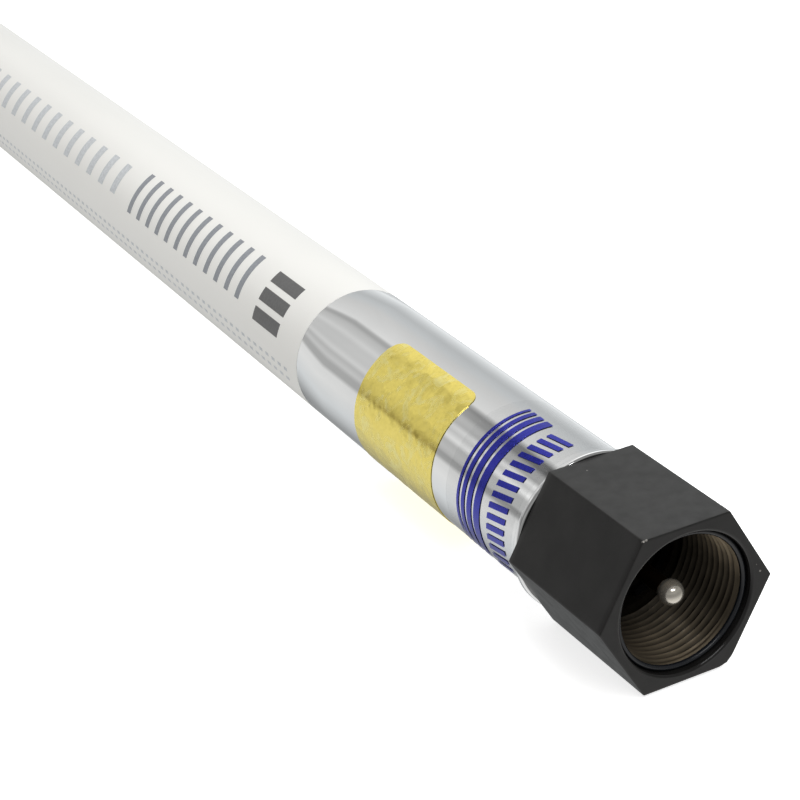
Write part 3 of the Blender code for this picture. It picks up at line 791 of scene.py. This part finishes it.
class ANTENNA_OT_mouth_seal(bpy.types.Operator):
    """Add the ring seal in the step of the mouth"""
    bl_idname = "antenna.mouth_seal"
    bl_label = "Mouth seal"

    def execute(self, context):
        wire = (SEAL_HIGH.y - SEAL_LOW.y) / 2
        ring_radius = (SEAL_HIGH.z - SEAL_LOW.z) / 2 - wire
        section = arc(ring_radius, along(SEAL_LOW.y) + wire, wire, 0.0, 345.0, 23)
        add_piece("mouth_ring", turned(section, 216), [rubber_material()], ANTENNA,
                  ["mouth_seal"])
        return {"FINISHED"}


# ---------------------------------------------------------------- contact

class ANTENNA_OT_contact(bpy.types.Operator):
    """Add the sprung centre contact and finish what holds it"""
    bl_idname = "antenna.contact"
    bl_label = "Centre contact"

    def execute(self, context):
        settings = context.scene.antenna_contact
        nickel = turned_metal_material("bright_nickel", tuple(settings.nickel_color), 0.20, polish=0.9,
                                       metal=0.8)
        # Painted shade: the brass and the snap ring's steel deep in the bore get near-black colours for the shade
        # they sit in.
        brass = turned_metal_material("brass_painted_dark", (0.055, 0.036, 0.017), 0.42)
        steel = turned_metal_material("spring_steel", (0.42, 0.42, 0.43), 0.32)
        shaded_steel = turned_metal_material("steel_painted_dark", (0.020, 0.020, 0.021), 0.55)
        dark_plastic = plastic_material("insulator_plastic", (0.004, 0.0037, 0.0034), 0.7, shine=0.15)

        nose = settings.nose_radius
        tip = along(PIN_LOW.y)
        neck = math.degrees(math.acos(settings.pin_radius / nose))
        ball = arc(0.0, tip + nose, nose, -90.0, neck, 28)
        end = along(PIN_HIGH.y)
        flange = (PIN_HIGH.z - PIN_LOW.z) / 2
        flange_start = end - 1.6 * MM
        shaft = [(settings.pin_radius, flange_start), (flange - 0.1 * MM, flange_start),
                 (flange, flange_start + 0.1 * MM), (flange, end - 0.1 * MM), (flange - 0.1 * MM, end)]
        profile = [(0.0, tip)] + ball[1:] + shaft + [(0.0, end)]
        pin = turned(profile, 72)
        for face in pin.faces:
            if along(face.calc_center_median().y) > tip + 2 * nose:
                face.material_index = 1
        add_piece("ball_nosed_pin", pin, [nickel, brass], CONTACT, ["contact_pin"])

        coil_radius = (SPRING_HIGH.z - SPRING_LOW.z) / 2
        wire = 0.28 * MM
        first, last = along(SPRING_LOW.y) + wire, along(SPRING_HIGH.y) - wire
        points = helix_points(coil_radius - wire, first, last, 6, 48)
        spring = wire_piece("contact_spring_wire", points, wire, steel, ANTENNA,
                            ["contact_spring"])
        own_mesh(spring)

        finish_nodes({"contact_barrel": brass, "barrel_nut": brass, "contact_plug": brass,
                      "snap_ring": shaded_steel, "contact_insulator": dark_plastic})
        return {"FINISHED"}


def helix_points(radius, first, last, turns, segments):
    """Places along a right-handed winding about the axis."""
    points = []
    total = turns * segments
    for step in range(total + 1):
        points.append(spot(radius, -360.0 * step / segments, first + (last - first) * step / total))
    return points


def finish_nodes(finishes):
    """Give CAD nodes their detailed materials."""
    for name, material in finishes.items():
        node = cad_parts[name]
        node.data.materials.clear()
        node.data.materials.append(material)


# ---------------------------------------------------------------- sleeve and labels

class ANTENNA_OT_sleeve(bpy.types.Operator):
    """Add the chromed sleeve with its low collar"""
    bl_idname = "antenna.sleeve"
    bl_label = "Chromed sleeve"

    def execute(self, context):
        settings = context.scene.antenna_sleeve
        start, end = along(SLEEVE_LOW.y) - 0.2 * MM, along(SLEEVE_HIGH.y)
        bore = TUBE_RADIUS - 1.0 * MM
        collar_end = along(SLEEVE_LOW.y) + 1.2 * MM
        rounding = 0.4 * MM
        profile = [(bore, start)]
        profile += arc(COLLAR_RADIUS - rounding, start + rounding, rounding, -90.0, 0.0, 6)
        profile += arc(COLLAR_RADIUS - rounding, collar_end - rounding, rounding, 0.0, 90.0, 6)
        profile += [(TUBE_RADIUS + 0.1 * MM, collar_end), (TUBE_RADIUS, collar_end + 0.1 * MM)]
        profile += [(TUBE_RADIUS, collar_end + (end - collar_end) * step / 8) for step in range(1, 8)]
        edge = 0.12 * MM
        profile += arc(TUBE_RADIUS - edge, end - edge, edge, 0.0, 90.0, 3)
        profile.append((bore, end))
        add_piece("chromed_sleeve", turned(profile, 288), [chrome_material(settings)], ANTENNA,
                  ["base_sleeve"])
        return {"FINISHED"}


DARK_LINE_ANGLE = 155.0      # a long dark line painted into the foil's colour, a painted reflection along a fold


def node_angles(high):
    """Angles that a wrapped label covers on the -X side, from the high corner of its box."""
    start = math.degrees(math.acos(high.x / (TUBE_RADIUS + 0.2 * MM)))
    return start, 360.0 - start


class ANTENNA_OT_gold_label(bpy.types.Operator):
    """Add the crinkled gold foil label"""
    bl_idname = "antenna.gold_label"
    bl_label = "Gold foil label"

    def execute(self, context):
        settings = context.scene.antenna_sleeve
        first, last = node_angles(GOLD_HIGH)
        start, end = along(GOLD_LOW.y), along(GOLD_HIGH.y)
        bm = bmesh.new()
        fold = bm.verts.layers.float.new("fold")
        rows, columns = 90, 150
        corner = settings.gold_corner
        layers = []
        for height in (0.04 * MM, 0.12 * MM):
            grid = []
            for row in range(rows + 1):
                distance = start + (end - start) * row / rows
                from_end = min(distance - start, end - distance)
                bite = corner - math.sqrt(max(0.0, corner ** 2 - max(0.0, corner - from_end) ** 2))
                trim = math.degrees(bite / TUBE_RADIUS)
                line = []
                for column in range(columns + 1):
                    angle = first + trim + (last - first - 2 * trim) * column / columns
                    lift = foil_crease(angle, distance) * settings.gold_crease
                    vert = bm.verts.new(spot(TUBE_RADIUS + height + lift, angle, distance))
                    # Painted reflection: the fold value paints a long dark line into the foil's colour.
                    off = (angle - DARK_LINE_ANGLE) / (1.4 if angle > DARK_LINE_ANGLE else 3.6)
                    vert[fold] = 0.75 * math.exp(-off * off)
                    line.append(vert)
                grid.append(line)
            layers.append(grid)
        close_layers(bm, *layers)
        add_piece("gold_foil_label", bm, [gold_material(settings)], ANTENNA, ["gold_label"])
        return {"FINISHED"}


def foil_crease(angle, distance):
    """Height of the foil's creases from 0 to 1: sharp folds that wander across the label."""
    across = math.radians(angle) * TUBE_RADIUS / MM
    place = Vector((across * 0.22, distance / MM * 0.17, 3.7))
    fold = 1.0 - abs(noise.noise(place)) * 2.4
    fine = 1.0 - abs(noise.noise(place * 3.1)) * 2.0
    return max(0.0, 0.7 * fold ** 3 if fold > 0 else 0.0) + max(0.0, 0.3 * fine)


class ANTENNA_OT_film(bpy.types.Operator):
    """Add the clear film and its blue print"""
    bl_idname = "antenna.film"
    bl_label = "Printed film"

    def execute(self, context):
        settings = context.scene.antenna_sleeve
        start, end = along(FILM_LOW.y), along(FILM_HIGH.y)
        first, last = node_angles(FILM_HIGH)
        bm = bmesh.new()
        base, film = TUBE_RADIUS + 0.04 * MM, 0.06 * MM
        wrapped_patch(bm, [(first, start), (last, start), (last, end), (first, end)], base, film)
        add_piece("clear_film", bm, [film_material()], ANTENNA, ["print_film"])
        bm = bmesh.new()
        radius = base + film + 0.01 * MM
        for corners in pin_stripes() + leaning_bars():
            wrapped_patch(bm, corners, radius, 0.03 * MM)
        add_piece("blue_print", bm, [ink_material(settings)], ANTENNA, [])
        return {"FINISHED"}


def pin_stripes():
    """Plain stripes that run on round the sleeve, each thinner than the last."""
    patches = []
    low, gap = 43.0 * MM, 0.9 * MM
    for width in (2.0 * MM, 1.5 * MM, 1.1 * MM, 0.7 * MM):
        patches.append([(84.0, low), (214.0, low), (214.0, low + width), (84.0, low + width)])
        low += width + gap
    return patches


def leaning_bars():
    """A row of equal bars next to the hexagon that all lean the same way."""
    patches = []
    low, high, width, lean = 34.6 * MM, 40.4 * MM, 4.4, 4.0
    for number in range(15):
        near = 88.0 + 8.4 * number
        patches.append([(near, low), (near + width, low), (near + width + lean, high), (near + lean, high)])
    return patches


# ---------------------------------------------------------------- tube

class ANTENNA_OT_tube(bpy.types.Operator):
    """Add the white tube, its dark print and its cap"""
    bl_idname = "antenna.tube"
    bl_label = "White tube"

    def execute(self, context):
        settings = context.scene.antenna_tube
        gelcoat = fibreglass_material(settings)
        shoulder, end = along(SLEEVE_HIGH.y) + 0.05 * MM, along(TUBE_HIGH.y)
        start = along(TUBE_LOW.y)
        bore, turned_down = TUBE_RADIUS - 3.0 * MM, TUBE_RADIUS - 1.3 * MM
        edge = 0.2 * MM
        profile = [(bore, start), (turned_down, start), (turned_down, shoulder)]
        profile += arc(TUBE_RADIUS - edge, shoulder + edge, edge, -90.0, 0.0, 3)
        profile += [(TUBE_RADIUS, shoulder + (end - shoulder) * step / 40) for step in range(1, 40)]
        profile += [(TUBE_RADIUS, end), (bore, end)]
        add_piece("white_tube", turned(profile, 192), [gelcoat], ANTENNA, ["radome_tube"])

        inks = (("dark_print", settings.print_color, bold_marks()),
                ("grey_print", settings.middle_color, slim_marks()),
                ("faint_print", settings.faint_color, faint_marks()))
        for name, tint, patches in inks:
            bm = bmesh.new()
            for corners in patches:
                wrapped_patch(bm, corners, TUBE_RADIUS + 0.01 * MM, 0.025 * MM)
            add_piece(name, bm, [printed_material(name, tuple(tint))], ANTENNA, [])

        skirt, tip = along(CAP_LOW.y), along(CAP_HIGH.y)
        inner = TUBE_RADIUS + 0.25 * MM
        end_wall = 2.6 * MM
        rounding = 2.2 * MM
        profile = [(0.0, tip - end_wall), (inner, tip - end_wall), (inner, skirt + edge)]
        profile += [(inner + edge, skirt), (CAP_RADIUS - edge, skirt), (CAP_RADIUS, skirt + edge)]
        profile += arc(CAP_RADIUS - rounding, tip - rounding, rounding, 0.0, 90.0, 10)
        profile += [(0.0, tip)]
        cap_plastic = plastic_material("cap_plastic", (0.74, 0.74, 0.72), 0.42)
        add_piece("tip_cap", turned(profile, 144), [cap_plastic], ANTENNA, ["end_cap"])
        return {"FINISHED"}


def strip(first, last, start, end):
    """A straight-sided mark between two angles and two distances in millimetres."""
    return [(first, start * MM), (last, start * MM), (last, end * MM), (first, end * MM)]


def even_bars(first, last, start, width, pitch, count):
    """Equal bars round the tube between two angles, evenly spaced along it."""
    return [strip(first, last, start + pitch * number, start + pitch * number + width) for number in range(count)]


def bold_marks():
    """Dark print nearest the sleeve: three equal blocks side by side."""
    return [strip(first, first + 12.0, 127.0, 139.0) for first in (116.0, 134.0, 152.0)]


def slim_marks():
    """Grey print beyond it: equal bars, evenly spaced, that run round the tube."""
    return even_bars(114.0, 158.0, 147.0, 2.0, 5.6, 12)


def faint_marks():
    """Pale bars further up and two rows of even ticks low on the tube."""
    patches = even_bars(120.0, 152.0, 220.0, 3.0, 8.0, 15)
    for row_angle in (184.0, 193.0):
        patches += even_bars(row_angle, row_angle + 3.0, 122.0, 1.4, 3.0, 70)
    return patches


# ---------------------------------------------------------------- inside the tube

class ANTENNA_OT_inside(bpy.types.Operator):
    """Finish the matching section, the radiator and its spacers"""
    bl_idname = "antenna.inside"
    bl_label = "Inner pieces"

    def execute(self, context):
        brass = turned_metal_material("radiator_brass", (0.66, 0.46, 0.20), 0.30)
        copper = enamel_material()
        foam = foam_material()
        phenolic = plastic_material("former_phenolic", (0.16, 0.075, 0.035), 0.42, grain=400.0)
        ceramic = plastic_material("glazed_ceramic", (0.16, 0.24, 0.46), 0.22, grain=200.0)
        red = plastic_material("wire_cover", (0.46, 0.035, 0.03), 0.4)
        finishes = {"coil_former": phenolic, "ground_wire": copper, "feed_wire": red,
                    "matching_capacitor": ceramic, "radiator_socket": brass, "radiator_rod": brass,
                    "end_plug": foam}
        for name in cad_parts:
            if name.startswith("rod_spacer"):
                finishes[name] = foam
        finish_nodes(finishes)

        wire = 0.6 * MM
        radius = (COIL_HIGH.x - COIL_LOW.x) / 2 - wire
        start = along(COIL_LOW.y) + wire
        turns, pitch = 10, 3.0 * MM
        points = helix_points(radius, start, start + turns * pitch, turns, 40)
        points.append(spot(radius, 0.0, along(COIL_HIGH.y)))
        wire_piece("matching_winding", points, wire, copper, ANTENNA, ["matching_coil"])
        return {"FINISHED"}


# ---------------------------------------------------------------- studio

# Brightness of the surround at angles about the antenna's axis, from -180 to 180 degrees: as the
# hexagon mirrors it, and as the sleeve mirrors it close to the hexagon and close to the tube
PANELS_BELOW = (
    (-156, 0.82), (-124, 0.75), (-108, 0.60), (-92, 0.43), (-76, 0.32), (-55, 0.40), (-20, 0.90), (4, 0.68),
    (12, 0.60), (20, 0.55), (36, 0.62), (52, 0.67), (76, 0.75),
)
PANELS_HEX = (
    (-180, 0.20), (-170, 0.60), (-156, 0.82), (-124, 0.75), (-108, 0.60), (-92, 0.43), (-76, 0.32),
    (-55, 0.40), (-20, 0.80), (12, 0.85), (36, 1.28), (60, 1.28), (84, 0.85), (108, 0.40), (130, 0.26),
    (180, 0.18),
)
PANELS_NEAR = (
    (-180, 0.34), (-174, 0.72), *PANELS_BELOW, (86, 0.76), (91, 0.44), (96, 0.11), (107, 0.10),
    (113, 0.34), (119, 0.38), (124, 0.37), (131, 0.88), (138, 0.62), (147, 1.0), (154, 0.50),
    (163, 0.50), (170, 0.52), (174, 0.26), (180, 0.34),
)
PANELS_FAR = (
    (-180, 0.44), (-173, 0.78), *PANELS_BELOW, (86, 0.80), (91, 0.46), (95, 0.42), (101, 0.56),
    (109, 0.62), (116, 0.71), (124, 0.61), (132, 0.62), (140, 0.61), (148, 0.70), (155, 0.52),
    (164, 0.62), (171, 0.44), (180, 0.44),
)


# The sky in front of the mouth: place from the top to the bottom, and light
FRONT_SKY = (
    (0.0, 0.24), (0.25, 0.24), (0.33, 0.38), (0.47, 0.25), (0.60, 0.28), (0.72, 0.55), (0.80, 0.72),
    (0.95, 0.90),
)


def surround_light(strength):
    """World of long soft panels beside the antenna, and a plain graded sky in front of its mouth."""
    world = bpy.data.worlds.new("studio_surround")
    bpy.context.scene.world = world
    world.use_nodes = True
    tree = world.node_tree
    background = tree.nodes["Background"]
    coordinates = tree.nodes.new("ShaderNodeTexCoord")
    split = tree.nodes.new("ShaderNodeSeparateXYZ")
    turn = tree.nodes.new("ShaderNodeMath")
    turn.operation = "ARCTAN2"      # angle about the antenna's axis
    tree.links.new(coordinates.outputs["Generated"], split.inputs["Vector"])
    tree.links.new(split.outputs["Z"], turn.inputs[0])
    tree.links.new(split.outputs["X"], turn.inputs[1])

    def spread(value, low, high):
        span = tree.nodes.new("ShaderNodeMapRange")
        span.inputs["From Min"].default_value = low
        span.inputs["From Max"].default_value = high
        tree.links.new(value, span.inputs["Value"])
        return span.outputs["Result"]

    def ramp(value, low, high, stops):
        colors = tree.nodes.new("ShaderNodeValToRGB")
        elements = colors.color_ramp.elements
        while len(elements) < len(stops):
            elements.new(0.5)
        for number, (place, light) in enumerate(stops):
            elements[number].position = place
            elements[number].color = (*light, 1.0)
        tree.links.new(spread(value, low, high), colors.inputs["Fac"])
        return colors.outputs["Color"]

    def panel_color(angle, value):
        warm = 1.0 if 45 < angle or angle < -150 else 0.0
        return (value * (0.97 + 0.03 * warm), value * 0.995, value * (1.0 - 0.025 * warm))

    def blend(first, second, low, high):
        """First where the direction's Y is below low, and second where it is above high."""
        mix = tree.nodes.new("ShaderNodeMix")
        mix.data_type = "RGBA"
        tree.links.new(spread(split.outputs["Y"], low, high), mix.inputs["Factor"])
        tree.links.new(first, mix.inputs[6])
        tree.links.new(second, mix.inputs[7])
        return mix.outputs[2]

    hexagon, near, far = (ramp(turn.outputs["Value"], -math.pi, math.pi,
                               [((angle + 180) / 360, panel_color(angle, value)) for angle, value in panels])
                          for panels in (PANELS_HEX, PANELS_NEAR, PANELS_FAR))
    slope = tree.nodes.new("ShaderNodeVectorMath")
    slope.operation = "DOT_PRODUCT"
    slope.inputs[1].default_value = (0.1, 0.0, -0.995)
    tree.links.new(coordinates.outputs["Generated"], slope.inputs[0])
    sky = ramp(slope.outputs["Value"], -1.0, 1.0,
               [(place, (value, value * 0.99, value * 0.97)) for place, value in FRONT_SKY])
    panels = blend(blend(hexagon, near, 0.69, 0.722), far, 0.745, 0.805)
    tree.links.new(blend(sky, panels, 0.12, 0.42), background.inputs["Color"])
    background.inputs["Strength"].default_value = strength


def soft_light(name, size, place, target, power):
    """A rectangular area light aimed at a target."""
    data = bpy.data.lights.new(name, "AREA")
    data.shape = "RECTANGLE"
    data.size, data.size_y = size
    data.energy = power
    light = add_object(name, data)
    light.location = place
    light.rotation_euler = (Vector(target) - Vector(place)).to_track_quat("-Z", "Y").to_euler()
    return light


class ANTENNA_OT_studio(bpy.types.Operator):
    """Add the pale floor, the soft light and the camera"""
    bl_idname = "antenna.studio"
    bl_label = "Studio"

    def execute(self, context):
        settings = context.scene.antenna_studio
        scene = context.scene
        scene.view_settings.view_transform = "Standard"
        mouth = spot(0.0, 0.0, 0.0)

        camera_data = bpy.data.cameras.new("studio_camera")
        camera_data.lens = settings.lens
        camera_data.sensor_width = 36.0
        camera_data.clip_start = 0.01
        camera = add_object("studio_camera", camera_data)
        camera.location = mouth + Vector(settings.camera_offset)
        camera.rotation_euler = tuple(settings.camera_turn)
        scene.camera = camera

        surround_light(settings.sky_strength)
        overhead = soft_light("overhead_softbox", (1.8, 1.2), (0.35, -0.7, 1.5), (0.0, -0.5, 0.0),
                              settings.top_light)
        left = soft_light("left_softbox", (1.3, 0.4), (-1.2, -0.05, 0.05), (0.0, -0.2, 0.0),
                          settings.side_light)
        overhead.visible_glossy = left.visible_glossy = False
        soft_light("front_softbox", (0.36, 0.10), mouth + Vector((-0.055, -0.415, 0.427)), mouth,
                   settings.front_light)

        bm = bmesh.new()
        bmesh.ops.create_circle(bm, cap_ends=True, segments=96, radius=14.0)
        mesh = bpy.data.meshes.new("studio_floor")
        bm.to_mesh(mesh)
        bm.free()
        floor = add_object("studio_floor", mesh)
        floor.location.z = -0.05 * MM
        floor.visible_diffuse = False
        floor.visible_glossy = False
        tint = tuple(settings.floor_color)
        shader = Shader("pale_floor").set(roughness=0.75, specular_ior_level=0.2)
        tone = shader.noise(6.0, 2.0)
        shader.drive(base_color=shader.mix(shader.span(tone, 0.3, 0.7), tint, shade(tint, 0.985)))
        shader.set(emission_color=(1.0, 1.0, 1.0), emission_strength=settings.floor_glow)
        mesh.materials.append(shader.material)
        return {"FINISHED"}


# ---------------------------------------------------------------- add-on

class ANTENNA_PT_panel(bpy.types.Panel):
    """Buttons and settings of the antenna"""
    bl_idname = "ANTENNA_PT_panel"
    bl_label = "Fibreglass antenna"
    bl_space_type = "VIEW_3D"
    bl_region_type = "UI"
    bl_category = "Antenna"

    def draw(self, context):
        layout = self.layout
        for operator in OPERATORS:
            layout.operator(operator.bl_idname)
        for name, group in SETTINGS.items():
            box = layout.box()
            box.label(text=group.__doc__)
            for key in group.__annotations__:
                box.prop(getattr(context.scene, name), key)


OPERATORS = (ANTENNA_OT_studio, ANTENNA_OT_ferrule, ANTENNA_OT_mouth_seal, ANTENNA_OT_contact,
             ANTENNA_OT_sleeve, ANTENNA_OT_gold_label, ANTENNA_OT_film, ANTENNA_OT_tube, ANTENNA_OT_inside)
SETTINGS = {
    "antenna_ferrule": FerruleSettings,
    "antenna_sleeve": SleeveSettings,
    "antenna_tube": TubeSettings,
    "antenna_contact": ContactSettings,
    "antenna_studio": StudioSettings,
}


def register():
    for kind in (*SETTINGS.values(), *OPERATORS, ANTENNA_PT_panel):
        bpy.utils.register_class(kind)
    for name, group in SETTINGS.items():
        setattr(bpy.types.Scene, name, PointerProperty(type=group))


def unregister():
    for name in SETTINGS:
        delattr(bpy.types.Scene, name)
    for kind in reversed((*SETTINGS.values(), *OPERATORS, ANTENNA_PT_panel)):
        bpy.utils.unregister_class(kind)


def main():
    register()
    bpy.ops.antenna.studio()
    bpy.ops.antenna.ferrule()
    bpy.ops.antenna.mouth_seal()
    bpy.ops.antenna.contact()
    bpy.ops.antenna.sleeve()
    bpy.ops.antenna.gold_label()
    bpy.ops.antenna.film()
    bpy.ops.antenna.tube()
    bpy.ops.antenna.inside()


if __name__ == "__main__":
    main()
